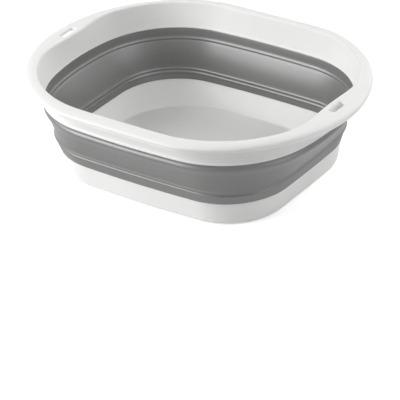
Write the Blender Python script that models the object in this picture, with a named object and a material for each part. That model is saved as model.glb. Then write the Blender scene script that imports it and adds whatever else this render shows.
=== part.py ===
"""Collapsible camp washbasin: a hard rim frame and a hard base tray, joined by a folding elastomer wall.

Metres, +Z up. +X runs along the long side towards one handle, and the origin is on the ground below
the middle. The basin stands open here. Every wall is a closed section carried round the basin's plan
outline, which changes from level to level.
"""

import math
from dataclasses import astuple, dataclass, replace

import bmesh
import bpy
from mathutils import Vector

MM = 0.001

# Points along a quarter of an outline, spread partly by how far it turns and partly by its length
QUARTER_STEPS = 18
TURN_SHARE = 0.6


@dataclass(frozen=True)
class Outline:
    """A level's plan: bowed ends and sides joined by round corners, and a pinch that draws in the ends."""

    half_length: float
    half_width: float
    corner: float
    end_bow: float
    side_bow: float
    pinch: float = 0.0
    pinch_reach: float = MM

    def grown(self, by):
        """The parallel outline that lies this far outside."""
        length, width, corner, end_bow, side_bow, pinch, reach = astuple(self)
        return Outline(length + by, width + by, corner + by, end_bow + by, side_bow + by, pinch, reach)

    def corner_centre(self):
        """Where the corner's arc turns, so that it runs smoothly into the end's arc and the side's arc."""
        end = Vector((self.half_length - self.end_bow, 0.0))
        side = Vector((0.0, self.half_width - self.side_bow))
        from_end, from_side = self.end_bow - self.corner, self.side_bow - self.corner
        apart = side - end
        along = (from_end**2 - from_side**2 + apart.length_squared) / (2 * apart.length)
        across = math.sqrt(from_end**2 - along**2)
        direction = apart.normalized()
        return end + along * direction + across * Vector((-direction.y, direction.x))

    def quarter(self):
        """Points from the middle of the +X end to the middle of the +Y side."""
        end = Vector((self.half_length - self.end_bow, 0.0))
        side = Vector((0.0, self.half_width - self.side_bow))
        centre = self.corner_centre()
        first = math.atan2(centre.y - end.y, centre.x - end.x)
        last = math.atan2(centre.y - side.y, centre.x - side.x)
        arcs = (
            (end, self.end_bow, 0.0, first),
            (centre, self.corner, first, last),
            (side, self.side_bow, last, math.pi / 2),
        )
        length = sum(radius * (stop - start) for _, radius, start, stop in arcs)
        points = [Vector((self.half_length, 0.0))]
        passed = 0.0
        for middle, radius, start, stop in arcs:
            turn = stop - start
            span = TURN_SHARE * turn / (math.pi / 2) + (1 - TURN_SHARE) * radius * turn / length
            while len(points) < QUARTER_STEPS and len(points) / QUARTER_STEPS <= passed + span:
                angle = start + turn * (len(points) / QUARTER_STEPS - passed) / span
                points.append(middle + radius * Vector((math.cos(angle), math.sin(angle))))
            passed += span
        points.append(Vector((0.0, self.half_width)))
        return [self.pinched(point) for point in points]

    def pinched(self, point):
        """The point drawn towards the middle where it lies near the middle of an end."""
        near = max(0.0, 1 - abs(point.y) / self.pinch_reach)
        return Vector((point.x - self.pinch * near * near * (3 - 2 * near), point.y))

    def loop(self):
        """The whole outline, counter-clockwise from the middle of the +X end."""
        quarter = self.quarter()
        half = quarter + [Vector((-x, y)) for x, y in quarter[-2::-1]]
        return half + [Vector((x, -y)) for x, y in half[-2:0:-1]]


# Heights above the ground, each level from the one below it
PAD_PROUD = 1.0 * MM
TRAY_RIM_Z = 27.7 * MM
TRAY_LAP_DEPTH = 2 * MM
LOWER_BAND_HEIGHT = 10.3 * MM
FOLD_BAND_HEIGHT = 34 * MM
UPPER_BAND_HEIGHT = 9.2 * MM
COLLAR_HEIGHT = 30.8 * MM
LOWER_FOLD_Z = TRAY_RIM_Z + LOWER_BAND_HEIGHT
UPPER_FOLD_Z = LOWER_FOLD_Z + FOLD_BAND_HEIGHT
COLLAR_FOOT_Z = UPPER_FOLD_Z + UPPER_BAND_HEIGHT
RIM_TOP_Z = COLLAR_FOOT_Z + COLLAR_HEIGHT

# Drops below the top of the rim
LIP_EDGE_DROP = 5.4 * MM
SKIRT_DROP = 10 * MM

# Half sizes of the mouth's inner face, what the lip adds outside it, and what each level below draws in
MOUTH_HALF_LENGTH = 169.1 * MM
MOUTH_HALF_WIDTH = 137.9 * MM
MOUTH_PINCH = 7.1 * MM
MOUTH_PINCH_REACH = 71 * MM
LIP_END_WIDTH = 20.9 * MM
LIP_SIDE_WIDTH = 14.5 * MM
COLLAR_END_DRAFT = 7.4 * MM
COLLAR_SIDE_DRAFT = 5.8 * MM
UPPER_BAND_DRAFT = 1.7 * MM
FOLD_BAND_END_DRAFT = 20.7 * MM
FOLD_BAND_SIDE_DRAFT = 13 * MM
LOWER_BAND_END_DRAFT = 2.8 * MM
LOWER_BAND_SIDE_DRAFT = 2.1 * MM
TRAY_END_DRAFT = 4.9 * MM
TRAY_SIDE_DRAFT = 4.4 * MM

# Radii of each outline: of its corners and ends as shares of its half width, of its sides as a share of its
# half length
LIP_RADIUS_SHARES = (0.518, 1.024, 21.05)
MOUTH_RADIUS_SHARES = (0.856, 2.154, 17.7)
COLLAR_FOOT_RADIUS_SHARES = (0.772, 1.817, 6.18)
UPPER_FOLD_RADIUS_SHARES = (0.767, 1.879, 6.88)
LOWER_FOLD_RADIUS_SHARES = (0.579, 8.52, 15.8)
TRAY_MOUTH_RADIUS_SHARES = (0.62, 22.5, 9.52)
TRAY_FOOT_RADIUS_SHARES = (0.568, 23.4, 9.88)


def plan(half_length, half_width, radius_shares):
    """An outline whose radii are shares of its half width and half length."""
    corner_share, end_share, side_share = radius_shares
    return Outline(
        half_length, half_width, corner_share * half_width, end_share * half_width, side_share * half_length
    )


def drawn_in(above, end_draft, side_draft, radius_shares):
    """The outline of a level that lies inside the one above it."""
    return plan(above.half_length - end_draft, above.half_width - side_draft, radius_shares)


# Plan outlines of the inner faces, from the mouth down, and the outermost line of the lip
MOUTH = replace(
    plan(MOUTH_HALF_LENGTH, MOUTH_HALF_WIDTH, MOUTH_RADIUS_SHARES),
    pinch=MOUTH_PINCH,
    pinch_reach=MOUTH_PINCH_REACH,
)
LIP_EDGE = drawn_in(MOUTH, -LIP_END_WIDTH, -LIP_SIDE_WIDTH, LIP_RADIUS_SHARES)
COLLAR_FOOT = drawn_in(MOUTH, COLLAR_END_DRAFT, COLLAR_SIDE_DRAFT, COLLAR_FOOT_RADIUS_SHARES)
UPPER_FOLD = drawn_in(COLLAR_FOOT, UPPER_BAND_DRAFT, UPPER_BAND_DRAFT, UPPER_FOLD_RADIUS_SHARES)
LOWER_FOLD = drawn_in(UPPER_FOLD, FOLD_BAND_END_DRAFT, FOLD_BAND_SIDE_DRAFT, LOWER_FOLD_RADIUS_SHARES)
TRAY_MOUTH = drawn_in(LOWER_FOLD, LOWER_BAND_END_DRAFT, LOWER_BAND_SIDE_DRAFT, TRAY_MOUTH_RADIUS_SHARES)
TRAY_FOOT = drawn_in(TRAY_MOUTH, TRAY_END_DRAFT, TRAY_SIDE_DRAFT, TRAY_FOOT_RADIUS_SHARES)

# Rim frame
COLLAR_WALL = 2.4 * MM
LIP_WALL = 2.2 * MM
MOUTH_ROUND = 1.6 * MM
SKIRT_FLARE = 0.4 * MM
COLLAR_BEAD = 0.5 * MM
COLLAR_BEAD_HEIGHT = 3 * MM
LIP_SHARES = (0.2, 0.42, 0.62, 0.78, 0.9, 0.97)
LIP_ROLL_POWER = 2.4
COLLAR_SHARES = (1 / 3, 2 / 3)
MOUTH_ROUND_STEPS = 2

# Hanging slot in each handle
SLOT_SETBACK = 10.5 * MM
SLOT_LENGTH = 21 * MM
SLOT_WIDTH = 8.4 * MM
SLOT_CORNER = 3 * MM
SLOT_SLEEVE_WALL = 1.5 * MM
SLOT_SLEEVE_DROP = 5.6 * MM
SLOT_SLEEVE_TOP_DROP = 1.1 * MM
SLOT_CORNER_SEGMENTS = 4
SLOT_X = MOUTH_HALF_LENGTH - MOUTH_PINCH + SLOT_SETBACK

# Elastomer wall
BAND_WALL = 1.8 * MM
HINGE_WALL = 1.1 * MM
FOLD_SAG = 1.6 * MM
HINGE_HEIGHT = 3 * MM
UPPER_LAP_HEIGHT = 1.4 * MM
LAP_WALL = 1.1 * MM
FOLD_SHARES = (0.25, 0.5, 0.75)

# Base tray
TRAY_WALL = 2.3 * MM
FLOOR_WALL = 2.2 * MM
FLOOR_ROUND = 11 * MM
FOOT_ROUND = 5 * MM
FOOT_RING_WIDTH = 9 * MM
FOOT_RECESS = 1.6 * MM
ROUND_STEPS = 4

# Anti-slip pads, one in a groove of the foot ring at each corner
PAD_WIDTH = 4.4 * MM
PAD_DEPTH_IN_GROOVE = 1.2 * MM
PAD_FIRST_STEP = 6
PAD_LAST_STEP = 11

# Clearance that stands for each moulded bond, and the overrun of every cutter
BOND_GAP = 0.3 * MM
CUT_OVERRUN = 6 * MM

SMOOTH_ANGLE = math.radians(32)
WHITE = (0.86, 0.86, 0.85)
GREY = (0.27, 0.27, 0.265)
MAT_WHITE = ("polypropylene_white", WHITE, 0.38)
MAT_GREY = ("elastomer_grey", GREY, 0.5)


def material(spec):
    """The named plastic, made once."""
    name, colour, roughness = spec
    made = bpy.data.materials.get(name)
    if made is None:
        made = bpy.data.materials.new(name)
        made.use_nodes = True
        shader = made.node_tree.nodes["Principled BSDF"]
        shader.inputs["Base Color"].default_value = (*colour, 1.0)
        shader.inputs["Roughness"].default_value = roughness
        shader.inputs["Metallic"].default_value = 0.0
    return made


def level(outline, height, towards=None, share=0.0):
    """A closed loop of points at one height, on an outline or part of the way from it to another."""
    loop = outline.loop()
    if towards is not None:
        loop = [point.lerp(other, share) for point, other in zip(loop, towards.loop())]
    return [Vector((point.x, point.y, height)) for point in loop]


def pairs_round(verts):
    """The neighbouring pairs round a closed loop of vertices."""
    return list(zip(verts, verts[1:] + verts[:1]))


def first_loop(bm, points):
    """Starts a skin with one closed loop of edges."""
    verts = [bm.verts.new(point) for point in points]
    for pair in pairs_round(verts):
        bm.edges.new(pair)
    return verts


def extrude_loop(bm, verts, points):
    """Extrudes a closed loop of edges and lays the new loop on the given points."""
    edges = [bm.edges.get(pair) for pair in pairs_round(verts)]
    made = bmesh.ops.extrude_edge_only(bm, edges=edges)["geom"]
    new = {item for item in made if isinstance(item, bmesh.types.BMVert)}
    moved = []
    for vert in verts:
        moved.append(next(e.other_vert(vert) for e in vert.link_edges if e.other_vert(vert) in new))
    for vert, point in zip(moved, points):
        vert.co = point
    return moved


def skin(name, loops, spec, ring=False):
    """A solid through successive loops: a ring joins its last loop to its first, others are capped."""
    bm = bmesh.new()
    first = first_loop(bm, loops[0])
    last = first
    for points in loops[1:]:
        last = extrude_loop(bm, last, points)
    if ring:
        for (a, b), (c, d) in zip(pairs_round(last), pairs_round(first)):
            bm.faces.new((a, b, d, c))
    else:
        bm.faces.new(first)
        bm.faces.new(last)
    bmesh.ops.recalc_face_normals(bm, faces=bm.faces)
    return add_object(name, bm, spec)


def add_object(name, bm, spec):
    """Turns a finished bmesh into a named object with its plastic."""
    mesh = bpy.data.meshes.new(name)
    bm.to_mesh(mesh)
    bm.free()
    mesh.shade_smooth()
    mesh.set_sharp_from_angle(angle=SMOOTH_ANGLE)
    mesh.materials.append(material(spec))
    made = bpy.data.objects.new(name, mesh)
    bpy.context.scene.collection.objects.link(made)
    return made


def boolean(target, operation, tool):
    """Cuts or joins a helper body, which stays in the file as a hidden wire."""
    modifier = target.modifiers.new(f"{operation.lower()}_{tool.name}", "BOOLEAN")
    modifier.operation = operation
    modifier.solver = "EXACT"
    modifier.object = tool
    tool.hide_render = True
    tool.display_type = "WIRE"


def rounded_block(name, centre_x, length, width, corner, low, high, spec):
    """An upright block with round corners, its length along Y."""
    bm = bmesh.new()
    bmesh.ops.create_cube(bm, size=1)
    bmesh.ops.scale(bm, vec=(width, length, high - low), verts=bm.verts)
    bmesh.ops.translate(bm, vec=(centre_x, 0, (low + high) / 2), verts=bm.verts)
    upright = [e for e in bm.edges if abs(e.verts[0].co.z - e.verts[1].co.z) > (high - low) / 2]
    bmesh.ops.bevel(
        bm, geom=upright, offset=corner, segments=SLOT_CORNER_SEGMENTS, profile=0.5, affect="EDGES"
    )
    return add_object(name, bm, spec)


def lip_drop(share):
    """How far the lip's top lies below the rim's top, from the mouth (0) to the lip's edge (1)."""
    return LIP_EDGE_DROP * (1 - (1 - share**LIP_ROLL_POWER) ** (1 / LIP_ROLL_POWER))


def quarter_round(radius, steps):
    """Pairs of run and rise along a quarter circle, from its start to its end."""
    turns = [math.pi / 2 * step / steps for step in range(steps + 1)]
    return [(radius * (1 - math.cos(turn)), radius * math.sin(turn)) for turn in turns]


def rim_loops():
    """The rim's section: up the inner face, over the lip, down the skirt, back under and down the collar."""
    top = RIM_TOP_Z
    foot = COLLAR_FOOT_Z
    lap_top = foot + UPPER_LAP_HEIGHT
    crown = MOUTH.grown(MOUTH_ROUND)
    loops = [level(COLLAR_FOOT, lap_top)]
    for share in COLLAR_SHARES:
        loops.append(level(COLLAR_FOOT, lap_top + (top - lap_top) * share, MOUTH, share))
    loops.append(level(MOUTH, top - MOUTH_ROUND))
    for run, rise in quarter_round(MOUTH_ROUND, MOUTH_ROUND_STEPS)[1:]:
        loops.append(level(MOUTH.grown(run), top - MOUTH_ROUND + rise))
    loops += [level(crown, top - lip_drop(share), LIP_EDGE, share) for share in LIP_SHARES]
    loops.append(level(LIP_EDGE, top - LIP_EDGE_DROP))
    skirt = LIP_EDGE.grown(SKIRT_FLARE)
    tip = LIP_WALL / 2
    loops += [
        level(skirt, top - SKIRT_DROP + tip),
        level(skirt.grown(-tip), top - SKIRT_DROP),
        level(skirt.grown(-LIP_WALL), top - SKIRT_DROP + tip),
    ]
    outside, inside = MOUTH.grown(COLLAR_WALL), LIP_EDGE.grown(-LIP_WALL)
    loops.append(level(inside, top - LIP_EDGE_DROP - LIP_WALL / 2))
    for share in (*reversed(LIP_SHARES[1:-1]), 0.0):
        loops.append(level(outside, top - lip_drop(share) - LIP_WALL, inside, share))
    bead_top = foot + COLLAR_BEAD_HEIGHT
    outer_foot = COLLAR_FOOT.grown(COLLAR_WALL)
    for share in COLLAR_SHARES:
        height = top - LIP_WALL + (bead_top - top + LIP_WALL) * share
        loops.append(level(outside, height, outer_foot, share))
    bead = outer_foot.grown(COLLAR_BEAD)
    loops += [
        level(outer_foot, bead_top),
        level(bead, bead_top - COLLAR_BEAD),
        level(bead, foot),
        level(COLLAR_FOOT.grown(LAP_WALL), foot),
        level(COLLAR_FOOT.grown(LAP_WALL), lap_top),
    ]
    return loops


def build_rim():
    """Rim frame: collar, rolled lip, and a handle at each end with its hanging slot."""
    rim = skin("rim_frame", rim_loops(), MAT_WHITE, ring=True)
    for side, sign in (("right", 1), ("left", -1)):
        sleeve = rounded_block(
            f"slot_sleeve_{side}",
            sign * SLOT_X,
            SLOT_LENGTH + 2 * SLOT_SLEEVE_WALL,
            SLOT_WIDTH + 2 * SLOT_SLEEVE_WALL,
            SLOT_CORNER + SLOT_SLEEVE_WALL,
            RIM_TOP_Z - SLOT_SLEEVE_DROP,
            RIM_TOP_Z - SLOT_SLEEVE_TOP_DROP,
            MAT_WHITE,
        )
        boolean(rim, "UNION", sleeve)
    for side, sign in (("right", 1), ("left", -1)):
        slot = rounded_block(
            f"slot_cutter_{side}",
            sign * SLOT_X,
            SLOT_LENGTH,
            SLOT_WIDTH,
            SLOT_CORNER,
            RIM_TOP_Z - SLOT_SLEEVE_DROP - CUT_OVERRUN,
            RIM_TOP_Z + CUT_OVERRUN,
            MAT_WHITE,
        )
        boolean(rim, "DIFFERENCE", slot)


def build_upper_band():
    """The wall's upper band, bonded behind the foot of the collar."""
    foot = COLLAR_FOOT_Z
    low = UPPER_FOLD_Z + BOND_GAP / 2
    leg = COLLAR_FOOT.grown(LAP_WALL - BOND_GAP)
    outside = COLLAR_FOOT.grown(BAND_WALL)
    loops = [
        level(UPPER_FOLD, low),
        level(COLLAR_FOOT, foot),
        level(COLLAR_FOOT, foot + UPPER_LAP_HEIGHT - BOND_GAP),
        level(leg, foot + UPPER_LAP_HEIGHT - BOND_GAP),
        level(leg, foot - BOND_GAP),
        level(outside, foot - BOND_GAP),
        level(UPPER_FOLD.grown(BAND_WALL), low + HINGE_HEIGHT / 2),
        level(UPPER_FOLD.grown(HINGE_WALL), low),
    ]
    skin("wall_upper_band", loops, MAT_GREY, ring=True)


def build_fold_band():
    """The wall's middle band, which turns inside out between its two folds as the basin collapses."""
    high = UPPER_FOLD_Z - BOND_GAP / 2
    low = LOWER_FOLD_Z + BOND_GAP / 2
    thinned = BAND_WALL - HINGE_WALL
    hinge = HINGE_HEIGHT / (high - low)
    inner, outer = [], []
    for share in (hinge, *FOLD_SHARES, 1 - hinge):
        height = high + (low - high) * share
        sag = FOLD_SAG * math.sin(math.pi * share)
        inner.append(level(UPPER_FOLD.grown(-sag), height, LOWER_FOLD.grown(-sag), share))
        sag -= BAND_WALL
        outer.append(level(UPPER_FOLD.grown(-sag), height, LOWER_FOLD.grown(-sag), share))
    top = [level(UPPER_FOLD.grown(BAND_WALL), high), level(UPPER_FOLD.grown(thinned), high)]
    bottom = [level(LOWER_FOLD, low), level(LOWER_FOLD.grown(HINGE_WALL), low)]
    skin("wall_fold_band", top + inner + bottom + outer[::-1], MAT_GREY, ring=True)


def build_lower_band():
    """The wall's lower band, bonded inside the mouth of the tray."""
    high = LOWER_FOLD_Z - BOND_GAP / 2
    mouth = TRAY_RIM_Z
    lap = TRAY_RIM_Z - TRAY_LAP_DEPTH
    leg = TRAY_MOUTH.grown(LAP_WALL - BOND_GAP)
    loops = [
        level(LOWER_FOLD, high),
        level(LOWER_FOLD.grown(HINGE_WALL), high),
        level(LOWER_FOLD.grown(BAND_WALL), high - HINGE_HEIGHT / 2),
        level(TRAY_MOUTH.grown(TRAY_WALL), mouth + BOND_GAP),
        level(leg, mouth + BOND_GAP),
        level(leg, lap + BOND_GAP),
        level(TRAY_MOUTH, lap + BOND_GAP),
    ]
    skin("wall_lower_band", loops, MAT_GREY, ring=True)


def tray_loops():
    """The tray's section, from the middle of its underside out, up the wall and back in over the floor."""
    ground = PAD_PROUD
    under = ground + FOOT_RECESS
    floor = under + FLOOR_WALL
    mouth = TRAY_RIM_Z
    lap = TRAY_RIM_Z - TRAY_LAP_DEPTH
    outer_foot = TRAY_FOOT.grown(TRAY_WALL)
    ring_inside = outer_foot.grown(-FOOT_ROUND - FOOT_RING_WIDTH)
    loops = [level(ring_inside.grown(-FOOT_RECESS), under), level(ring_inside, ground)]
    for run, rise in quarter_round(FOOT_ROUND, ROUND_STEPS):
        loops.append(level(outer_foot.grown(rise - FOOT_ROUND), ground + run))
    rebate = TRAY_MOUTH.grown(LAP_WALL)
    loops += [
        level(TRAY_MOUTH.grown(TRAY_WALL), mouth),
        level(rebate, mouth),
        level(rebate, lap),
        level(TRAY_MOUTH, lap),
    ]
    for run, rise in quarter_round(FLOOR_ROUND, ROUND_STEPS):
        loops.append(level(TRAY_FOOT.grown(-run), floor + FLOOR_ROUND - rise))
    return loops


def pad_loops(clearance, low, high):
    """Four-point sections of a pad along each corner of the foot ring, one list for each corner."""
    middle = TRAY_FOOT.grown(TRAY_WALL - FOOT_ROUND - FOOT_RING_WIDTH / 2)
    half = PAD_WIDTH / 2 + clearance
    inner, outer = middle.grown(-half).loop(), middle.grown(half).loop()
    spans = []
    for corner in range(4):
        start, stop = PAD_FIRST_STEP, PAD_LAST_STEP
        if corner % 2:
            start, stop = QUARTER_STEPS - stop, QUARTER_STEPS - start
        picks = range(corner * QUARTER_STEPS + start, corner * QUARTER_STEPS + stop + 1)
        pairs = [(inner[pick], outer[pick]) for pick in picks]
        along = clearance * (outer[picks[1]] - outer[picks[0]]).normalized()
        back = clearance * (outer[picks[-1]] - outer[picks[-2]]).normalized()
        pairs[0] = tuple(point - along for point in pairs[0])
        pairs[-1] = tuple(point + back for point in pairs[-1])
        spans.append([[(*a, low), (*b, low), (*b, high), (*a, high)] for a, b in pairs])
    return spans


def build_tray():
    """Base tray, with a groove for a pad at each corner of its foot ring."""
    tray = skin("base_tray", tray_loops(), MAT_WHITE)
    groove_top = PAD_PROUD + PAD_DEPTH_IN_GROOVE + BOND_GAP
    for index, loops in enumerate(pad_loops(BOND_GAP, PAD_PROUD - CUT_OVERRUN, groove_top)):
        boolean(tray, "DIFFERENCE", skin(f"pad_groove_cutter_{index + 1}", loops, MAT_WHITE))


def build_pads():
    """The four anti-slip pads that the basin stands on."""
    for index, loops in enumerate(pad_loops(0.0, 0.0, PAD_PROUD + PAD_DEPTH_IN_GROOVE)):
        skin(f"foot_pad_{index + 1}", loops, MAT_GREY)


def main():
    """Clears the scene and builds every piece of the basin."""
    for old in list(bpy.data.objects):
        bpy.data.objects.remove(old)
    build_rim()
    build_upper_band()
    build_fold_band()
    build_lower_band()
    build_tray()
    build_pads()


main()
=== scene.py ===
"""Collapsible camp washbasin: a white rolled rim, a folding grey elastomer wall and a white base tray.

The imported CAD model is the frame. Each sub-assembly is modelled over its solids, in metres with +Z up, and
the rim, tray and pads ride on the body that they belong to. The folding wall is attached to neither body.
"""

import logging
import math
from dataclasses import astuple, dataclass, field
from enum import Enum

import bmesh
import bpy
from mathutils import Matrix, Vector


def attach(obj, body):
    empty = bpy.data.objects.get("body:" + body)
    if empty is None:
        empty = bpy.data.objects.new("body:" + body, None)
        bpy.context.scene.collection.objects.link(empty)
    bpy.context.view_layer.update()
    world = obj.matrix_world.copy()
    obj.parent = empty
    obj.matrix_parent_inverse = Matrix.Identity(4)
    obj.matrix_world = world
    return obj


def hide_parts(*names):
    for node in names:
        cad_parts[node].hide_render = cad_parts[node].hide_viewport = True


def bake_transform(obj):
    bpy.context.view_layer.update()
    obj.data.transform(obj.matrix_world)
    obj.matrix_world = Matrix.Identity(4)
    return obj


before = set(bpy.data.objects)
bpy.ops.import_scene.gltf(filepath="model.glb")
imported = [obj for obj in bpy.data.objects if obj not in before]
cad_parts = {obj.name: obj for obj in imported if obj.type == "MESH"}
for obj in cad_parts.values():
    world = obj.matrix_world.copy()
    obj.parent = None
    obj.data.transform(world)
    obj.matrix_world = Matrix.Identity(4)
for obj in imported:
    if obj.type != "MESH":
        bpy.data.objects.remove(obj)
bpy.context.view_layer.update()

LOG = logging.getLogger("washbasin")
MM = 0.001

# Points along a quarter of an outline, spread partly by how far it turns and partly by its length
QUARTER_STEPS = 36
TURN_SHARE = 0.6

# How far cages are rounded, when two points count as one, and from what angle an edge stays sharp
CAGE_SUBDIVISIONS = 1
SAME_PLACE = 1e-7
CREASE_DEGREES = 60
RIM_CREASE_DEGREES = 35

# The plastics' look: clouds of colour, a fine grain, and flecks that are several grains wide
PLASTIC_IOR = 1.49
NOISE_ROUGHNESS = 0.55
CLOUD_SCALE = 14
CLOUD_DETAIL = 3
GRAIN_DETAIL = 2
GRAIN_SHARE = 0.7
GRAINS_PER_FLECK = 5
FLECK_DETAIL = 3
FLECK_ROUGHNESS = 0.06
BUMP_STRENGTH = 0.5

Loop = list[Vector]
Colour = tuple[float, float, float]


class Body(Enum):
    """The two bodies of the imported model."""

    RIM = "rim"
    TRAY = "tray"


class Slot(Enum):
    """The record's material slots."""

    WHITE = "white_plastic"
    GREY = "grey_elastomer"


@dataclass(frozen=True)
class Outline:
    """A level's plan: bowed ends and sides joined by round corners, and a pinch that draws in the ends."""

    half_length: float
    half_width: float
    corner: float
    end_bow: float
    side_bow: float
    pinch: float = 0.0
    pinch_reach: float = MM

    def grown(self, by: float) -> "Outline":
        """The parallel outline that lies this far outside."""
        length, width, corner, end_bow, side_bow, pinch, reach = astuple(self)
        return Outline(length + by, width + by, corner + by, end_bow + by, side_bow + by, pinch, reach)

    def arcs(self) -> tuple[tuple[Vector, float, float, float], ...]:
        """The three arcs of a quarter.

        Returns:
            The centre, radius, first angle and last angle of the end's, the corner's and the side's arc.
        """
        end = Vector((self.half_length - self.end_bow, 0.0))
        side = Vector((0.0, self.half_width - self.side_bow))
        from_end, from_side = self.end_bow - self.corner, self.side_bow - self.corner
        apart = side - end
        along = (from_end**2 - from_side**2 + apart.length_squared) / (2 * apart.length)
        across = math.sqrt(from_end**2 - along**2)
        direction = apart.normalized()
        centre = end + along * direction + across * Vector((-direction.y, direction.x))
        first = math.atan2(centre.y - end.y, centre.x - end.x)
        last = math.atan2(centre.y - side.y, centre.x - side.x)
        return (
            (end, self.end_bow, 0.0, first),
            (centre, self.corner, first, last),
            (side, self.side_bow, last, math.pi / 2),
        )

    def point(self, share: float) -> Vector:
        """The point a share of the way from the middle of the +X end to the middle of the +Y side.

        Args:
            share: From 0 at the end to 1 at the side.

        Returns:
            The point in plan, drawn in where the ends are pinched.
        """
        arcs = self.arcs()
        length = sum(radius * (stop - start) for _, radius, start, stop in arcs)
        passed = 0.0
        for centre, radius, start, stop in arcs:
            turn = stop - start
            span = TURN_SHARE * turn / (math.pi / 2) + (1 - TURN_SHARE) * radius * turn / length
            if share <= passed + span or stop == math.pi / 2:
                angle = start + turn * min(1.0, (share - passed) / span)
                found = centre + radius * Vector((math.cos(angle), math.sin(angle)))
                break
            passed += span
        near = max(0.0, 1 - abs(found.y) / self.pinch_reach)
        return Vector((found.x - self.pinch * near * near * (3 - 2 * near), found.y))

    def loop(self) -> Loop:
        """The whole outline.

        Returns:
            Its points in plan, counter-clockwise from the middle of the +X end.
        """
        quarter = [self.point(step / QUARTER_STEPS) for step in range(QUARTER_STEPS + 1)]
        half = quarter + [Vector((-x, y)) for x, y in quarter[-2::-1]]
        return half + [Vector((x, -y)) for x, y in half[-2:0:-1]]


def between(low: Outline, high: Outline, share: float, height: float) -> Loop:
    """A loop of points at one height, part of the way from one outline to another.

    Args:
        low: The outline at share 0.
        high: The outline at share 1.
        share: How far the loop lies from the first outline to the second.
        height: The height of every point.

    Returns:
        The points, counter-clockwise from the middle of the +X end.
    """
    pairs = zip(low.loop(), high.loop())
    return [Vector((*a.lerp(b, share), height)) for a, b in pairs]


@dataclass(frozen=True)
class BasinPlan:
    """The plan outlines of the basin's inner face and their heights, as the CAD source has them."""

    lip_edge: Outline = Outline(190 * MM, 152.4 * MM, 78.9 * MM, 156 * MM, 4000 * MM)
    mouth: Outline = Outline(169.1 * MM, 137.9 * MM, 118 * MM, 297 * MM, 2993 * MM, 7.1 * MM, 71 * MM)
    collar_foot: Outline = Outline(161.7 * MM, 132.1 * MM, 102 * MM, 240 * MM, 999 * MM)
    upper_fold: Outline = Outline(160 * MM, 130.4 * MM, 100 * MM, 245 * MM, 1101 * MM)
    lower_fold: Outline = Outline(139.3 * MM, 117.4 * MM, 68 * MM, 1000 * MM, 2200 * MM)
    tray_mouth: Outline = Outline(136.5 * MM, 115.3 * MM, 71.5 * MM, 2594 * MM, 1300 * MM)
    tray_foot: Outline = Outline(131.6 * MM, 110.9 * MM, 63 * MM, 2595 * MM, 1300 * MM)
    rim_top_z: float = 112 * MM
    mouth_z: float = 110.4 * MM
    collar_lap_z: float = 82.6 * MM
    collar_foot_z: float = 81.2 * MM
    upper_fold_z: float = 72 * MM
    lower_fold_z: float = 38 * MM
    tray_rim_z: float = 27.7 * MM
    tray_lap_z: float = 25.7 * MM
    tray_round_z: float = 15.8 * MM
    floor_z: float = 4.8 * MM
    ground_z: float = 1.0 * MM
    fold_sag: float = 1.6 * MM

    def collar(self, height: float, offset: float) -> Loop:
        """A loop round the collar.

        Args:
            height: The loop's height.
            offset: How far outside the collar's inner face it lies.

        Returns:
            The loop's points.
        """
        share = (height - self.collar_lap_z) / (self.mouth_z - self.collar_lap_z)
        share = min(1.0, max(0.0, share))
        return between(self.collar_foot.grown(offset), self.mouth.grown(offset), share, height)

    def wall(self, height: float, offset: float) -> Loop:
        """The folding wall's inner face at a height, moved outwards by an offset.

        Args:
            height: From the lap in the tray up to the lap behind the collar.
            offset: How far outside the inner face the loop lies.

        Returns:
            The loop's points.
        """
        sag = 0.0
        if height >= self.upper_fold_z:
            low, high, bottom, top = self.upper_fold, self.collar_foot, self.upper_fold_z, self.collar_foot_z
        elif height >= self.lower_fold_z:
            low, high, bottom, top = self.lower_fold, self.upper_fold, self.lower_fold_z, self.upper_fold_z
            sag = self.fold_sag * math.sin(math.pi * (height - bottom) / (top - bottom))
        else:
            low, high, bottom, top = self.tray_mouth, self.lower_fold, self.tray_lap_z, self.lower_fold_z
        share = min(1.0, max(0.0, (height - bottom) / (top - bottom)))
        return between(low.grown(offset - sag), high.grown(offset - sag), share, height)

    def tray(self, height: float, offset: float) -> Loop:
        """A loop round the tray.

        Args:
            height: The loop's height.
            offset: How far outside the tray's inner face in the CAD it lies.

        Returns:
            The loop's points.
        """
        share = (height - self.tray_round_z) / (self.tray_lap_z - self.tray_round_z)
        share = min(1.0, max(0.0, share))
        return between(self.tray_foot.grown(offset), self.tray_mouth.grown(offset), share, height)


def deselect_all() -> None:
    """Leaves edit mode and deselects every object."""
    if bpy.context.object is not None and bpy.context.object.mode != "OBJECT":
        bpy.ops.object.mode_set(mode="OBJECT")
    bpy.ops.object.select_all(action="DESELECT")


def make_active(piece: bpy.types.Object) -> None:
    """Selects one object alone and makes it the active one.

    Args:
        piece: The object.
    """
    deselect_all()
    piece.select_set(True)
    bpy.context.view_layer.objects.active = piece


def apply_modifier(piece: bpy.types.Object, kind: str, **settings: object) -> None:
    """Adds a modifier and applies it.

    Args:
        piece: The object that takes it.
        kind: Blender's name for the kind of modifier.
        settings: The modifier's own settings.
    """
    make_active(piece)
    modifier = piece.modifiers.new(kind.lower(), kind)
    for name, value in settings.items():
        setattr(modifier, name, value)
    bpy.ops.object.modifier_apply(modifier=modifier.name)


def smooth(piece: bpy.types.Object, degrees: float) -> None:
    """Shades a piece smooth, with edges sharper than an angle left sharp."""
    make_active(piece)
    bpy.ops.object.shade_smooth_by_angle(angle=math.radians(degrees))


def mesh_selected(piece: bpy.types.Object) -> list[bmesh.types.BMVert]:
    """The selected vertices of the piece in edit mode."""
    return [vert for vert in bmesh.from_edit_mesh(piece.data).verts if vert.select]


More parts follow.
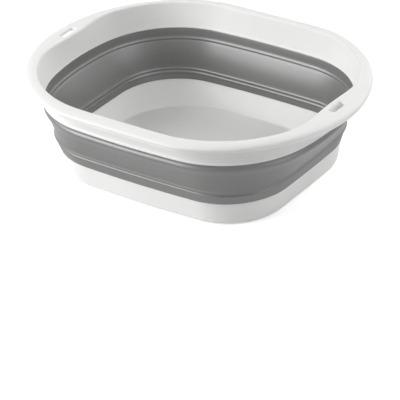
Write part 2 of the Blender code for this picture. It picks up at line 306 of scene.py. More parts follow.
class LoopModeller:
    """Models a shell as by hand: a circle is laid on the first outline, and each next loop is extruded."""

    STEP = "step_round"

    def __init__(self, name: str, first: Loop) -> None:
        """Adds the circle and lays it on the first loop.

        Args:
            name: The new piece's name.
            first: The first loop's points.
        """
        deselect_all()
        count = len(first)
        bpy.ops.mesh.primitive_circle_add(vertices=count, radius=first[0].x, location=(0, 0, first[0].z))
        self.piece = bpy.context.object
        self.piece.name = self.piece.data.name = name
        bpy.ops.object.transform_apply(location=True, rotation=True, scale=True)
        bpy.ops.object.mode_set(mode="EDIT")
        bpy.ops.mesh.select_mode(type="VERT")
        bpy.ops.mesh.select_all(action="SELECT")
        mesh = bmesh.from_edit_mesh(self.piece.data)
        step = mesh.verts.layers.int.new(self.STEP)
        for vert in mesh.verts:
            vert[step] = round(math.atan2(vert.co.y, vert.co.x) / math.tau * count) % count
        self.first = first
        self._lay(first)

    def _lay(self, loop: Loop) -> None:
        """Lays the selected vertices on a loop, each on the point of its own step.

        Args:
            loop: The points.
        """
        mesh = bmesh.from_edit_mesh(self.piece.data)
        step = mesh.verts.layers.int[self.STEP]
        for vert in mesh.verts:
            if vert.select:
                vert.co = loop[vert[step]]
        bmesh.update_edit_mesh(self.piece.data)
        self.last = loop

    def extrude_to(self, loop: Loop) -> None:
        """Extrudes the selected loop of edges up or down, and lays it on the next outline.

        Args:
            loop: The next outline's points.
        """
        rise = Vector((0, 0, loop[0].z - self.last[0].z))
        bpy.ops.mesh.extrude_region_move(TRANSFORM_OT_translate={"value": rise})
        self._lay(loop)

    def _select(self, *loops: Loop) -> None:
        """Selects the vertices and edges of some loops, and nothing else.

        Args:
            loops: The loops' points.
        """
        bpy.ops.mesh.select_all(action="DESELECT")
        mesh = bmesh.from_edit_mesh(self.piece.data)
        step = mesh.verts.layers.int[self.STEP]
        on_loops = {
            vert
            for vert in mesh.verts
            if any((vert.co - loop[vert[step]]).length < SAME_PLACE for loop in loops)
        }
        for edge in mesh.edges:
            if len(edge.link_faces) < 2 and on_loops.issuperset(edge.verts):
                edge.select = True
        bmesh.update_edit_mesh(self.piece.data)

    def join_ends(self) -> None:
        """Bridges the last loop to the first, which closes a ring's section."""
        self._select(self.first, self.last)
        bpy.ops.mesh.bridge_edge_loops()

    def fill(self, loop: Loop, span: int) -> None:
        """Fills an open loop with a grid that is this many squares wide."""
        self._select(loop)
        bpy.ops.mesh.fill_grid(span=span)

    def finish(self) -> bpy.types.Object:
        """Turns the normals outwards, rounds the cage and leaves edit mode.

        Returns:
            The piece.
        """
        bpy.ops.mesh.select_all(action="SELECT")
        bpy.ops.mesh.normals_make_consistent(inside=False)
        bpy.ops.object.mode_set(mode="OBJECT")
        self.piece.data.attributes.remove(self.piece.data.attributes[self.STEP])
        apply_modifier(self.piece, "SUBSURF", levels=CAGE_SUBDIVISIONS, render_levels=CAGE_SUBDIVISIONS)
        return self.piece


class Value:
    """A shader socket that takes part in Python expressions, each of which adds its Math node."""

    def __init__(self, graph: "ShaderGraph", socket: bpy.types.NodeSocket) -> None:
        """Keeps the socket and the graph that its expressions are added to."""
        self.graph = graph
        self.socket = socket

    def math(self, operation: str, *others: "Value | float") -> "Value":
        """The result of a Math node on this value.

        Args:
            operation: The Math node's operation.
            others: Its second and third inputs.

        Returns:
            The result's socket.
        """
        inputs = dict(enumerate((self, *others)))
        return self.graph.node("ShaderNodeMath", {"operation": operation}, inputs)[0]

    def __add__(self, other: "Value | float") -> "Value":
        """The sum."""
        return self.math("ADD", other)

    def __sub__(self, other: "Value | float") -> "Value":
        """The difference."""
        return self.math("SUBTRACT", other)

    def __rsub__(self, other: float) -> "Value":
        """The difference from a number."""
        return self.graph.node("ShaderNodeMath", {"operation": "SUBTRACT"}, {0: other, 1: self})[0]

    def __mul__(self, other: "Value | float") -> "Value":
        """The product."""
        return self.math("MULTIPLY", other)

    def __truediv__(self, other: "Value | float") -> "Value":
        """The quotient."""
        return self.math("DIVIDE", other)

    def __abs__(self) -> "Value":
        """The size without its sign."""
        return self.math("ABSOLUTE")

    __radd__ = __add__
    __rmul__ = __mul__


class ShaderGraph:
    """The node tree of a material or of the world."""

    def __init__(self, owner: bpy.types.Material | bpy.types.World) -> None:
        """Empties the owner's node tree.

        Args:
            owner: The material or the world.
        """
        owner.use_nodes = True
        self.tree = owner.node_tree
        self.tree.nodes.clear()

    def node(self, kind: str, settings: dict[str, object], inputs: dict[str | int, object]) -> list[Value]:
        """Adds a node.

        Args:
            kind: The node's type.
            settings: Its properties, which are set first.
            inputs: Values or links for its sockets, by name or number.

        Returns:
            Its outputs.
        """
        made = self.tree.nodes.new(kind)
        for name, value in settings.items():
            setattr(made, name, value)
        for key, value in inputs.items():
            if isinstance(value, Value):
                self.tree.links.new(value.socket, made.inputs[key])
            else:
                made.inputs[key].default_value = value
        return [Value(self, socket) for socket in made.outputs]

    def noise(self, place: Value, scale: float, detail: float) -> Value:
        """A noise between 0 and 1.

        Args:
            place: The coordinates that it follows.
            scale: Its grains to the metre.
            detail: How many finer layers it has.

        Returns:
            The noise.
        """
        inputs = {"Vector": place, "Scale": scale, "Detail": detail, "Roughness": NOISE_ROUGHNESS}
        return self.node("ShaderNodeTexNoise", {}, inputs)[0]

    def mix(self, share: Value, first: Colour, second: Colour) -> Value:
        """A colour between two others."""
        inputs = {0: share, 6: (*first, 1.0), 7: (*second, 1.0)}
        return self.node("ShaderNodeMix", {"data_type": "RGBA"}, inputs)[2]


@dataclass(frozen=True)
class MouldedFinish:
    """A plastic with the fine grain that its mould leaves, clouded a little by how it cooled."""

    name: str
    slot: Slot
    colour: Colour
    clouded: Colour
    roughness: float
    roughness_spread: float
    grain_scale: float
    grain_height: float
    specular: float = 0.5

    def place(self, graph: ShaderGraph) -> Value:
        """The coordinates that the grain follows."""
        return graph.node("ShaderNodeTexCoord", {}, {})[3]

    def lighten(self, graph: ShaderGraph, place: Value, cloud: Value) -> Value:
        """How much of the clouded colour shows."""
        return cloud

    def material(self) -> bpy.types.Material:
        """Makes the material, once.

        Returns:
            The material.
        """
        found = bpy.data.materials.get(self.name)
        if found is not None:
            return found
        made = bpy.data.materials.new(self.name)
        graph = ShaderGraph(made)
        place = self.place(graph)
        cloud = graph.noise(place, CLOUD_SCALE, CLOUD_DETAIL)
        grain = graph.noise(place, self.grain_scale, GRAIN_DETAIL)
        fleck = graph.noise(place, self.grain_scale / GRAINS_PER_FLECK, FLECK_DETAIL)
        colour = graph.mix(self.lighten(graph, place, cloud), self.colour, self.clouded)
        roughness = self.roughness + (cloud - 0.5) * self.roughness_spread + (fleck - 0.5) * FLECK_ROUGHNESS
        height = grain * GRAIN_SHARE + fleck * (1 - GRAIN_SHARE)
        relief = {"Strength": BUMP_STRENGTH, "Distance": self.grain_height, "Height": height}
        bump = graph.node("ShaderNodeBump", {}, relief)
        inputs = {
            "Base Color": colour,
            "Roughness": roughness,
            "Normal": bump[0],
            "IOR": PLASTIC_IOR,
            "Specular IOR Level": self.specular,
        }
        shader = graph.node("ShaderNodeBsdfPrincipled", {}, inputs)
        graph.node("ShaderNodeOutputMaterial", {}, {"Surface": shader[0]})
        return made

    def dress(self, piece: bpy.types.Object) -> None:
        """Gives a piece this finish.

        Args:
            piece: The piece.
        """
        piece.data.materials.clear()
        piece.data.materials.append(self.material())


@dataclass(frozen=True)
class FoldingFinish(MouldedFinish):
    """The elastomer of the folding wall: its grain follows the surface, and its folds are paler."""

    REST_PLACE = "rest_place"

    fold_heights: tuple[float, ...] = (72.2 * MM, 39.6 * MM)
    fold_reach: float = 2.6 * MM
    cloud_share: float = 0.5
    least_strain_share: float = 0.1

    def place(self, graph: ShaderGraph) -> Value:
        """Where each point lies with the basin open."""
        return graph.node("ShaderNodeAttribute", {"attribute_name": self.REST_PLACE}, {})[1]

    def lighten(self, graph: ShaderGraph, place: Value, cloud: Value) -> Value:
        """How much of the paler colour shows: the clouding, and the strain along each fold.

        Args:
            graph: The material's node tree.
            place: Where each point lies with the basin open.
            cloud: The clouding, from 0 to 1.

        Returns:
            The paler colour's share.
        """
        height = graph.node("ShaderNodeSeparateXYZ", {}, {"Vector": place})[2]
        shown = cloud * self.cloud_share
        strain = cloud * (1 - self.least_strain_share) + self.least_strain_share
        for fold in self.fold_heights:
            near = 1 - abs(height - fold) / self.fold_reach
            shown = shown + near.math("MAXIMUM", 0.0) * strain
        return shown.math("MINIMUM", 1.0)

    def dress(self, piece: bpy.types.Object) -> None:
        """Marks every point with its place at rest, then gives the piece the finish.

        Args:
            piece: The folding wall.
        """
        mesh = piece.data
        kept = mesh.attributes.new(self.REST_PLACE, "FLOAT_VECTOR", "POINT")
        for vert, mark in zip(mesh.vertices, kept.data):
            mark.vector = vert.co
        super().dress(piece)


WHITE_PLASTIC = MouldedFinish(
    "polypropylene_white",
    Slot.WHITE,
    (0.86, 0.86, 0.85),
    (0.83, 0.83, 0.82),
    0.48,
    0.06,
    1900,
    0.03 * MM,
    specular=0.4,
)
GREY_WALL = FoldingFinish(
    "elastomer_grey_folding",
    Slot.GREY,
    (0.135, 0.135, 0.1323),
    (0.162, 0.162, 0.1588),
    0.42,
    0.06,
    1500,
    0.03 * MM,
    specular=1.0,
)
GREY_PAD = MouldedFinish(
    "elastomer_grey_pad",
    Slot.GREY,
    (0.15, 0.15, 0.147),
    (0.185, 0.185, 0.181),
    0.5,
    0.08,
    1500,
    0.05 * MM,
)


@dataclass
class RimFrame:
    """The white rim: a collar, a lip that rolls outwards, and a hanging slot in each handle.

    A pair in its section is a rise above a level and how far outside a face it lies, in millimetres.
    """

    plan: BasinPlan
    lip_edge_drop: float = 4.4 * MM
    lip_roll_power: float = 2.0
    lip_wall: float = 2.2 * MM
    skirt_wall: float = 4.4 * MM
    deep_share: float = 0.1
    deep_from: float = 85 * MM
    deep_reach: float = 65 * MM
    crown_inset: float = 1.6 * MM
    crown_step: float = 0.22 * MM
    crown_share: float = 0.025
    top_shares: tuple = (0.07, 0.12, 0.2, 0.3, 0.4, 0.5, 0.6, 0.7, 0.79, 0.87, 0.93, 0.975, 0.995)
    underside_shares: tuple = (0.97, 0.88, 0.76, 0.62, 0.46, 0.3, 0.15, 0.05)
    collar_wall: float = 2.4 * MM
    collar_rises: tuple = (-3.4, -5, -9, -14, -19)
    slot_x: float = 172.5 * MM
    slot_length: float = 23 * MM
    slot_width: float = 8.4 * MM
    slot_corner: float = 3 * MM
    sleeve_wall: float = 1.5 * MM
    sleeve_drop: float = 4.2 * MM
    sleeve_top_drop: float = 1.5 * MM
    edge_round: float = 0.9 * MM
    edge_round_steps: int = 5
    cut_above: float = 4 * MM
    cut_below: float = 6 * MM

    def lip_drop(self, share: float) -> float:
        """How far the lip's top lies below the crown, from the crown (0) to the lip's edge (1)."""
        power = self.lip_roll_power
        return self.lip_edge_drop * (1 - (1 - share**power) ** (1 / power))

    def deepened(self, loop: Loop) -> Loop:
        """Lowers a loop towards the corners and the ends, where the lip hangs deeper.

        Args:
            loop: The loop's points.

        Returns:
            The lowered points.
        """
        top = self.plan.rim_top_z
        found = []
        for point in loop:
            near = min(1.0, max(0.0, (abs(point.x) - self.deep_from) / self.deep_reach))
            scale = 1 + self.deep_share * near * near * (3 - 2 * near)
            found.append(Vector((point.x, point.y, top - (top - point.z) * scale)))
        return found

    def handle_drop(self, x: float) -> float:
        """How far the lip's top lies below the rim's top, along the middle of a handle.

        Args:
            x: The distance from the basin's middle.

        Returns:
            The drop.
        """
        crown = self.plan.mouth.grown(self.crown_inset).point(0.0).x
        edge = self.plan.lip_edge.point(0.0).x
        return (self.crown_step + self.lip_drop((x - crown) / (edge - crown))) * (1 + self.deep_share)

    def inner_loops(self) -> list[Loop]:
        """The collar's inner face, from the lap with the elastomer up to the round edge of the mouth.

        Returns:
            Its loops, from the lowest up.
        """
        plan, top = self.plan, self.plan.rim_top_z
        foot = ((0.0, 0.2), (0.12, -0.05), (0.5, -0.42), (1.4, -0.45), (2.4, -0.05))
        face = ((4, 0), (9, 0), (15, 0), (21, 0))
        edge = ((-4, 0), (-2.3, 0), (-1.1, 0.22), (-0.35, 0.8), (-0.02, 1.45))
        loops = [plan.collar(plan.collar_lap_z + rise * MM, offset * MM) for rise, offset in foot + face]
        return loops + [plan.collar(top + rise * MM, offset * MM) for rise, offset in edge]

    def lip_loops(self) -> list[Loop]:
        """The lip's top, its rolled edge, and its underside back to the collar.

        Returns:
            Its loops, from the crown out and back in.
        """
        plan, top = self.plan, self.plan.rim_top_z
        crown, edge = plan.mouth.grown(self.crown_inset), plan.lip_edge
        loops = [between(crown, edge, self.crown_share, top)]
        for share in self.top_shares:
            loops.append(between(crown, edge, share, top - self.crown_step - self.lip_drop(share)))
        roll = ((-5.0, -0.05), (-5.8, -0.3), (-6.6, -0.75), (-7.3, -1.3), (-7.9, -1.8), (-8.35, -2.05))
        edge_bead = ((-8.75, -2.0), (-9.1, -1.88), (-9.35, -1.95), (-9.5, -2.3))
        inside = ((-9.55, -2.9), (-9.35, -3.6), (-8.8, -4.1), (-8.0, -4.35), (-7.0, -4.4))
        for rise, offset in roll + edge_bead + inside:
            outline = edge.grown(offset * MM)
            loops.append(between(outline, outline, 0.0, top + rise * MM))
        outer, inner = edge.grown(-self.skirt_wall), plan.mouth.grown(self.collar_wall)
        for share in self.underside_shares:
            height = top - self.lip_drop(share) - self.lip_wall
            loops.append(between(inner, outer, share, height))
        return [self.deepened(loop) for loop in loops]

    def collar_loops(self) -> list[Loop]:
        """The collar's outer face down to its foot bead, and the rebate that takes the elastomer's lap.

        Returns:
            Its loops, from the highest down.
        """
        plan, top, lap = self.plan, self.plan.rim_top_z, self.plan.collar_lap_z
        wall = self.collar_wall
        loops = [plan.collar(top + rise * MM, wall) for rise in self.collar_rises]
        bead = ((4.2, 0), (2.4, 0), (1.7, 0.05), (1.35, 0.5), (0.9, 0.75), (0.0, 0.8), (-0.9, 0.7))
        loops += [plan.collar(lap + rise * MM, wall + offset * MM) for rise, offset in bead]
        foot = ((-1.3, 2.7), (-1.4, 2.2), (-1.4, 1.5), (-1.3, 1.15))
        rebate = ((-0.9, 1.1), (-0.15, 1.1), (0, 0.95), (0, 0.5))
        return loops + [plan.collar(lap + rise * MM, offset * MM) for rise, offset in foot + rebate]

    def block(self, name: str, side: int, wall: float, low: float, high: float) -> bpy.types.Object:
        """An upright block with round corners, over or in one slot, left in edit mode.

        Args:
            name: The helper's name.
            side: 1 for the +X handle, -1 for the -X one.
            wall: How far it reaches outside the slot.
            low: The height of its foot.
            high: The height of its top.

        Returns:
            The block.
        """
        deselect_all()
        middle = Vector((side * self.slot_x, 0, (low + high) / 2))
        bpy.ops.mesh.primitive_cube_add(size=1, location=middle)
        block = bpy.context.object
        block.name = name
        block.scale = (self.slot_width + 2 * wall, self.slot_length + 2 * wall, high - low)
        bpy.ops.object.transform_apply(location=True, rotation=True, scale=True)
        bpy.ops.object.mode_set(mode="EDIT")
        bpy.ops.mesh.select_mode(type="EDGE")
        bpy.ops.mesh.select_all(action="DESELECT")
        mesh = bmesh.from_edit_mesh(block.data)
        for edge in mesh.edges:
            if abs(edge.verts[0].co.z - edge.verts[1].co.z) > (high - low) / 2:
                edge.select = True
        bmesh.update_edit_mesh(block.data)
        bpy.ops.mesh.bevel(offset=self.slot_corner + wall, segments=8, profile=0.5, affect="EDGES")
        return block

    def tilt(self, block: bpy.types.Object, side: int) -> None:
        """Leaves edit mode and tilts a block to stand square on the sloping lip.

        Args:
            block: The block.
            side: 1 for the +X handle, -1 for the -X one.
        """
        bpy.ops.object.mode_set(mode="OBJECT")
        pivot = Vector((side * self.slot_x, 0, self.plan.rim_top_z))
        rise = self.handle_drop(self.slot_x + MM) - self.handle_drop(self.slot_x - MM)
        turn = Matrix.Rotation(side * math.atan(rise / (2 * MM)), 4, "Y")
        block.data.transform(Matrix.Translation(pivot) @ turn @ Matrix.Translation(-pivot))

    def flare(self, block: bpy.types.Object) -> None:
        """Widens the top of a cutter by a quarter round, which rounds the edge that it cuts.

        Args:
            block: The cutter, in edit mode.
        """
        bpy.ops.mesh.select_mode(type="FACE")
        bpy.ops.mesh.select_all(action="DESELECT")
        mesh = bmesh.from_edit_mesh(block.data)
        for face in mesh.faces:
            if face.normal.z > 0.9:
                face.select = True
        bmesh.update_edit_mesh(block.data)
        widths = (self.slot_width, self.slot_length)
        passed = Vector((0.0, 0.0))
        for step in range(1, self.edge_round_steps + 1):
            angle = math.pi / 2 * step / self.edge_round_steps
            reach = self.edge_round * (1 - math.cos(angle))
            rise = self.edge_round * math.sin(angle)
            growth = [(w + 2 * reach) / (w + 2 * passed.x) for w in widths]
            lift = Vector((0, 0, rise - passed.y))
            bpy.ops.mesh.extrude_region_move(TRANSFORM_OT_translate={"value": lift})
            middle = sum((v.co for v in mesh_selected(block)), Vector()) / len(mesh_selected(block))
            bpy.ops.transform.resize(value=(*growth, 1), center_override=middle)
            passed = Vector((reach, rise))
        bpy.ops.mesh.extrude_region_move(TRANSFORM_OT_translate={"value": Vector((0, 0, self.cut_above))})

    def cut_slots(self, rim: bpy.types.Object) -> None:
        """Adds the sleeve under each slot, and cuts the slot through lip and sleeve.

        Args:
            rim: The rim.
        """
        top = self.plan.rim_top_z
        sleeve_low, sleeve_high = top - self.sleeve_drop, top - self.sleeve_top_drop
        flare_low = top - self.handle_drop(self.slot_x) - self.edge_round
        for side in (1, -1):
            sleeve = self.block("sleeve", side, self.sleeve_wall, sleeve_low, sleeve_high)
            self.tilt(sleeve, side)
            apply_modifier(rim, "BOOLEAN", operation="UNION", solver="MANIFOLD", object=sleeve)
            bpy.data.objects.remove(sleeve)
            cutter = self.block("cutter", side, 0.0, sleeve_low - self.cut_below, flare_low)
            self.flare(cutter)
            self.tilt(cutter, side)
            apply_modifier(rim, "BOOLEAN", operation="DIFFERENCE", solver="MANIFOLD", object=cutter)
            bpy.data.objects.remove(cutter)

    def build(self) -> bpy.types.Object:
        """Models the rim and dresses it.

        Returns:
            The rim.
        """
        loops = self.inner_loops() + self.lip_loops() + self.collar_loops()
        modeller = LoopModeller("rim_moulding", loops[0])
        for loop in loops[1:]:
            modeller.extrude_to(loop)
        modeller.join_ends()
        rim = modeller.finish()
        self.cut_slots(rim)
        smooth(rim, RIM_CREASE_DEGREES)
        WHITE_PLASTIC.dress(rim)
        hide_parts("rim_frame")
        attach(rim, Body.RIM.value)
        return rim


@dataclass
class FoldingWall:
    """The grey wall, one moulding with ribs along its folds, which turns inside out between them.

    A pair in its section is a height and how far outside the inner face it lies, in millimetres.
    """

    plan: BasinPlan
    inner_top: tuple = (
        (82.3, 0.2), (82.1, 0), (80.5, -0.2), (77.5, -0.3), (74.5, -0.1), (72.7, -0.15), (71.9, -0.7)
    )
    inner_fold: tuple = ((70.9, -0.9), (70.1, -0.35), (69.4, 0.25), (68.7, 0.2), (67.6, 0))
    inner_middle: tuple = ((65, 0), (61, 0), (56, 0), (51, 0), (46, 0), (41.8, 0))
    inner_low_fold: tuple = (
        (39.4, 0), (38.5, -0.1), (37.8, -0.65), (36.9, -0.7),
        (36.2, -0.1), (35.3, 0.1), (34.5, -0.05), (33.8, -0.65)
    )
    inner_foot: tuple = ((32.9, -0.65), (32.1, 0), (30.8, 0), (29.4, 0), (27.8, 0), (26.4, 0), (26.05, 0.15))
    lap: tuple = ((26.0, 0.6), (26.3, 0.8), (27.7, 0.8), (28.0, 1.1), (28.0, 1.9), (28.3, 2.25))
    outer_foot: tuple = (
        (30.5, 2.15), (34, 2.05), (36.6, 2.0), (38.3, 1.95),
        (38.9, 1.6), (39.3, 1.0), (39.9, 0.7), (40.7, 0.6)
    )
    outer_fold: tuple = (
        (41.3, 0.75), (41.7, 1.6), (42.1, 2.8), (42.6, 3.45),
        (43.3, 3.45), (44.2, 2.85), (45.3, 2.15), (48.5, 1.8)
    )
    outer_middle: tuple = ((52, 1.8), (56.5, 1.8), (61, 1.8), (64.5, 1.85))
    outer_top: tuple = (
        (66.5, 1.9), (68.5, 2.15), (70.5, 2.6), (72.3, 2.95), (73.8, 3.1), (75, 2.9), (76, 2.3), (76.8, 1.5),
        (77.6, 0.8), (79.2, 0.5), (80.7, 0.6)
    )
    leg: tuple = ((80.95, 0.8), (81.3, 0.75), (82.0, 0.8), (82.3, 0.6))

    def build(self) -> bpy.types.Object:
        """Models the wall and dresses it.

        Returns:
            The wall.
        """
        plan = self.plan
        section = self.inner_top + self.inner_fold + self.inner_middle + self.inner_low_fold
        section += self.inner_foot + self.lap + self.outer_foot + self.outer_fold
        section += self.outer_middle + self.outer_top + self.leg
        loops = [plan.wall(height * MM, offset * MM) for height, offset in section]
        modeller = LoopModeller("folding_wall", loops[0])
        for loop in loops[1:]:
            modeller.extrude_to(loop)
        modeller.join_ends()
        wall = modeller.finish()
        smooth(wall, CREASE_DEGREES)
        GREY_WALL.dress(wall)
        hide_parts("wall_upper_band", "wall_fold_band", "wall_lower_band")
        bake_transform(wall)
        return wall


@dataclass
class BaseTray:
    """The white tray: a floor, a wall, a rebate for the elastomer's lap and a foot ring.

    Its inner face slopes in further than the CAD's. A pair in its section is a height, above the foot ring's
    underside in the first two tables, and how far outside the CAD's inner face it lies, in millimetres.
    """

    plan: BasinPlan
    pads: "FootPads"
    wall: float = 2.3 * MM
    inner_foot: Outline = Outline(122.7 * MM, 101.9 * MM, 88 * MM, 2595 * MM, 1300 * MM)
    inner_foot_z: float = 8.3 * MM
    floor_round: float = 3.5 * MM
    foot_round: float = 5 * MM
    round_steps: int = 6
    under: tuple = (
        (1.6, -46), (1.6, -41), (1.2, -40.2), (1.2, -38.6), (1.6, -37.8), (1.6, -26), (1.6, -14.5)
    )
    ring: tuple = ((1.6, -13.3), (0.25, -11.9), (0, -11.3), (0, -7.5), (0, -4))
    wall_heights: tuple = (8.5, 13, 18, 23, 26.6)
    rim: tuple = (
        (27.5, 2.28), (27.7, 2.05), (27.7, 1.35), (27.6, 1.12), (27.2, 1.1), (26.1, 1.1), (25.78, 1.0)
    )
    lap: tuple = ((25.7, 0.7), (25.7, 0.2), (25.55, 0))
    inner_heights: tuple = (25, 22.5, 19, 15.5, 12, 9.2)
    floor: tuple = (-5.5, -9.5, -15.5, -23, -33, -43)

    def build(self) -> bpy.types.Object:
        """Models the tray and dresses it.

        Returns:
            The tray.
        """
        plan, ground = self.plan, self.plan.ground_z
        loops = [plan.tray(ground + rise * MM, offset * MM) for rise, offset in self.under + self.ring]
        for step in range(self.round_steps + 1):
            angle = math.pi / 2 * step / self.round_steps
            offset = self.wall - self.foot_round * (1 - math.sin(angle))
            loops.append(plan.tray(ground + self.foot_round * (1 - math.cos(angle)), offset))
        loops += [self.outer_loop(height * MM) for height in self.wall_heights]
        loops += [plan.tray(height * MM, offset * MM) for height, offset in self.rim + self.lap]
        loops += [self.inner_loop(height * MM) for height in self.inner_heights]
        for step in range(1, self.round_steps + 1):
            angle = math.pi / 2 * step / self.round_steps
            height = plan.floor_z + self.floor_round * (1 - math.sin(angle))
            loops.append(self.foot_loop(height, -self.floor_round * (1 - math.cos(angle))))
        loops += [self.foot_loop(plan.floor_z, offset * MM) for offset in self.floor]
        modeller = LoopModeller("base_tray_moulding", loops[0])
        for loop in loops[1:]:
            modeller.extrude_to(loop)
        modeller.fill(loops[-1], QUARTER_STEPS)
        modeller.fill(loops[0], QUARTER_STEPS)
        tray = modeller.finish()
        self.pads.cut_grooves(tray)
        smooth(tray, CREASE_DEGREES)
        WHITE_PLASTIC.dress(tray)
        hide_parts("base_tray")
        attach(tray, Body.TRAY.value)
        return tray

    def inner_loop(self, height: float) -> Loop:
        """The wall's inner face, which runs straight from the lap down to the floor's round."""
        share = (height - self.inner_foot_z) / (self.plan.tray_lap_z - self.inner_foot_z)
        return between(self.inner_foot, self.plan.tray_mouth, share, height)

    def foot_loop(self, height: float, offset: float) -> Loop:
        """A loop of the floor or of its round, moved outwards from the inner face's foot by an offset."""
        outline = self.inner_foot.grown(offset)
        return between(outline, outline, 0.0, height)

    def outer_loop(self, height: float) -> Loop:
        """The wall's outer face, which runs straight from the foot round to the tray's rim.

        Args:
            height: The loop's height.

        Returns:
            The loop's points.
        """
        plan = self.plan
        low, high = plan.ground_z + self.foot_round, plan.tray_rim_z
        share = (height - low) / (high - low)
        return between(plan.tray_foot.grown(self.wall), plan.tray_mouth.grown(self.wall), share, height)


@dataclass
class FootPads:
    """The four anti-slip pads, each let into a groove at a corner of the foot ring."""

    plan: BasinPlan
    ring_offset: float = -7.2 * MM
    width: float = 4.4 * MM
    height: float = 2.2 * MM
    bond_gap: float = 0.3 * MM
    groove_overrun: float = 2 * MM
    first_share: float = 6 / 18
    last_share: float = 11 / 18
    look_ahead_share: float = 0.01
    along_shares: tuple = (
        0, 0.012, 0.035, 0.07, 0.14, 0.24, 0.36, 0.5, 0.64, 0.76, 0.86, 0.93, 0.965, 0.988, 1
    )
    end_width_shares: tuple = (0.45, 0.74, 0.93, 1)
    profile_shares: tuple = (
        (1, 0.5), (0.97, 0.14), (0.78, 0.03), (0.3, 0), (-0.3, 0), (-0.78, 0.03),
        (-0.97, 0.14), (-1, 0.5), (-0.95, 1), (-0.3, 1), (0.3, 1), (0.95, 1)
    )
    corners: tuple = ((1, 1), (-1, 1), (-1, -1), (1, -1))

    def sections(self, clearance: float, low: float) -> list[Loop]:
        """The cross-sections of a pad, or of the cutter of its groove, from end to end.

        Args:
            clearance: How far it stands out all round.
            low: The height of its underside.

        Returns:
            The sections along the corner between the +X end and the +Y side.
        """
        middle = self.plan.tray_foot.grown(self.ring_offset)
        rise = self.height + clearance - low
        count = len(self.along_shares)
        found = []
        for index, along in enumerate(self.along_shares):
            share = self.first_share + (self.last_share - self.first_share) * along
            here = middle.point(share)
            ahead = (middle.point(share + self.look_ahead_share) - here).normalized()
            across = Vector((ahead.y, -ahead.x))
            narrowed = self.end_width_shares[min(index, count - 1 - index, len(self.end_width_shares) - 1)]
            half = self.width / 2 * narrowed + clearance
            here += ahead * clearance * (2 * along - 1)
            shape = [(here + across * half * x, low + rise * z) for x, z in self.profile_shares]
            found.append([Vector((*place, height)) for place, height in shape])
        return found

    def moulding(self, name: str, clearance: float, low: float) -> bpy.types.Object:
        """Extrudes a pad, or the cutter of its groove, along the first corner.

        Args:
            name: The new piece's name.
            clearance: How far it stands out all round.
            low: The height of its underside.

        Returns:
            The piece.
        """
        sections = self.sections(clearance, low)
        modeller = LoopModeller(name, sections[0])
        for section in sections[1:]:
            modeller.extrude_to(section)
        span = len(self.profile_shares) // 4
        modeller.fill(sections[0], span)
        modeller.fill(sections[-1], span)
        return modeller.finish()

    def copies(self, first: bpy.types.Object) -> list[bpy.types.Object]:
        """Copies the piece at the first corner to the others, each with its own mesh.

        Args:
            first: The piece at the first corner.

        Returns:
            The four pieces.
        """
        pieces = [first]
        for x, y in self.corners[1:]:
            copy = first.copy()
            copy.data = first.data.copy()
            copy.data.transform(Matrix.Diagonal((x, y, 1, 1)))
            if x * y < 0:
                copy.data.flip_normals()
            bpy.context.scene.collection.objects.link(copy)
            pieces.append(copy)
        return pieces

    def cut_grooves(self, tray: bpy.types.Object) -> None:
        """Cuts the pads' grooves into the tray's foot ring.

        Args:
            tray: The tray.
        """
        for cutter in self.copies(self.moulding("pad_groove", self.bond_gap, -self.groove_overrun)):
            apply_modifier(tray, "BOOLEAN", operation="DIFFERENCE", solver="MANIFOLD", object=cutter)
            bpy.data.objects.remove(cutter)

    def build(self) -> list[bpy.types.Object]:
        """Models the pads and dresses them.

        Returns:
            The pads.
        """
        pads = self.copies(self.moulding("pad_moulding_1", 0.0, 0.0))
        for number, pad in enumerate(pads, 1):
            pad.name = pad.data.name = f"pad_moulding_{number}"
            smooth(pad, CREASE_DEGREES)
            GREY_PAD.dress(pad)
            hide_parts(f"foot_pad_{number}")
            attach(pad, Body.TRAY.value)
        return pads


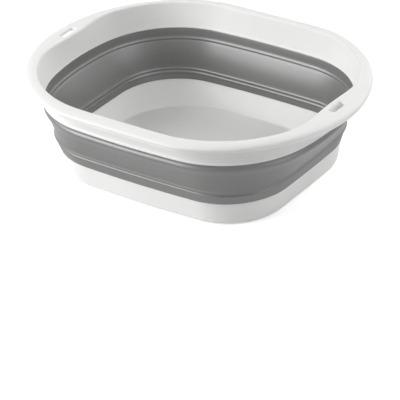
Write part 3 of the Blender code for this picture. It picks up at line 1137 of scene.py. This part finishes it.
@dataclass
class Studio:
    """A white studio: a pale floor, a soft key at the front left, weaker lamps behind and at the right."""

    floor_size: float = 2.6
    floor_paint: Colour = (0.8, 0.8, 0.8)
    sky: float = 0.01
    glow: float = 0.5
    lamp_distance: float = 2.1
    lamp_aim_z: float = 0.05
    lamp_size: float = 1.3
    lamps: tuple[tuple[str, tuple[float, float, float], float], ...] = (
        ("key_front_left", (-0.66, -0.74, 0.5), 47),
        ("back", (0.1, 0.9, 0.6), 20),
        ("right", (0.9, 0.1, 0.5), 13),
        ("high_right", (0.6, 0.2, 0.9), 10),
    )
    camera_azimuth: float = math.radians(35.67)
    camera_elevation: float = math.radians(30.11)
    camera_roll: float = math.radians(-2.62)
    camera_distance: float = 2.606
    camera_target: Vector = field(default_factory=lambda: Vector((0.0574, -0.0869, 0.0104)))
    lens: float = 225.0
    sensor_width: float = 36.0
    clip_end: float = 50.0

    def camera(self) -> None:
        """Adds the camera at the photograph's viewing angle."""
        azimuth, elevation = self.camera_azimuth, self.camera_elevation
        level = math.cos(elevation)
        back = Vector((math.sin(azimuth) * level, -math.cos(azimuth) * level, math.sin(elevation)))
        turn = back.to_track_quat("Z", "Y").to_matrix() @ Matrix.Rotation(self.camera_roll, 3, "Z")
        place = self.camera_target + back * self.camera_distance
        bpy.ops.object.camera_add(location=place, rotation=turn.to_euler())
        camera = bpy.context.object
        camera.data.lens = self.lens
        camera.data.sensor_width = self.sensor_width
        camera.data.clip_end = self.clip_end
        bpy.context.scene.camera = camera

    def lamp(self, name: str, direction: Vector, power: float) -> None:
        """Adds a soft square lamp that faces the basin.

        Args:
            name: The lamp's name.
            direction: The direction in which it stands from the basin.
            power: Its power in watts.
        """
        turn = direction.to_track_quat("Z", "Y").to_euler()
        place = direction.normalized() * self.lamp_distance + Vector((0, 0, self.lamp_aim_z))
        bpy.ops.object.light_add(type="AREA", location=place, rotation=turn)
        lamp = bpy.context.object
        lamp.name = name
        lamp.data.size = self.lamp_size
        lamp.data.energy = power

    def seen_white(self, graph: ShaderGraph) -> Value:
        """Tells the rays that see the background: those of the camera, of reflections and of glass.

        Args:
            graph: The node tree of the world or of the floor.

        Returns:
            1 for such a ray, and 0 for any other.
        """
        path = {value.socket.name: value for value in graph.node("ShaderNodeLightPath", {}, {})}
        seen = path["Is Camera Ray"] + path["Is Glossy Ray"] + path["Is Transmission Ray"]
        return seen.math("MINIMUM", 1.0)

    def world(self) -> None:
        """Makes the world: even light all round, seen as white."""
        world = bpy.data.worlds.new("studio_white")
        bpy.context.scene.world = world
        graph = ShaderGraph(world)
        strength = self.sky + self.seen_white(graph) * (1 - self.sky)
        background = graph.node("ShaderNodeBackground", {}, {"Color": (1, 1, 1, 1), "Strength": strength})
        graph.node("ShaderNodeOutputWorld", {}, {"Surface": background[0]})

    def floor(self) -> None:
        """Adds the floor, which shows the basin's shadow and is seen as white elsewhere."""
        deselect_all()
        bpy.ops.mesh.primitive_plane_add(size=self.floor_size, location=(0, 0, 0))
        floor = bpy.context.object
        floor.name = "studio_floor"
        made = bpy.data.materials.new("studio_floor_white")
        graph = ShaderGraph(made)
        paint = graph.node("ShaderNodeBsdfDiffuse", {}, {"Color": (*self.floor_paint, 1)})
        glow = graph.node("ShaderNodeEmission", {}, {"Strength": self.seen_white(graph) * self.glow})
        both = graph.node("ShaderNodeAddShader", {}, {0: paint[0], 1: glow[0]})
        graph.node("ShaderNodeOutputMaterial", {}, {"Surface": both[0]})
        floor.data.materials.append(made)

    def build(self) -> None:
        """Sets up the camera, the lamps, the world and the floor."""
        self.camera()
        self.world()
        self.floor()
        for name, direction, power in self.lamps:
            self.lamp(name, Vector(direction), power)
        bpy.context.scene.view_settings.view_transform = "Standard"


def main() -> None:
    """Builds the basin and its studio."""
    logging.basicConfig(level=logging.INFO, format="%(name)s: %(message)s")
    plan = BasinPlan()
    pads = FootPads(plan)
    pieces = [RimFrame(plan).build(), FoldingWall(plan).build(), BaseTray(plan, pads).build(), *pads.build()]
    for piece in pieces:
        LOG.info("%s: %d faces", piece.name, len(piece.data.polygons))
    Studio().build()


if __name__ == "__main__":
    main()
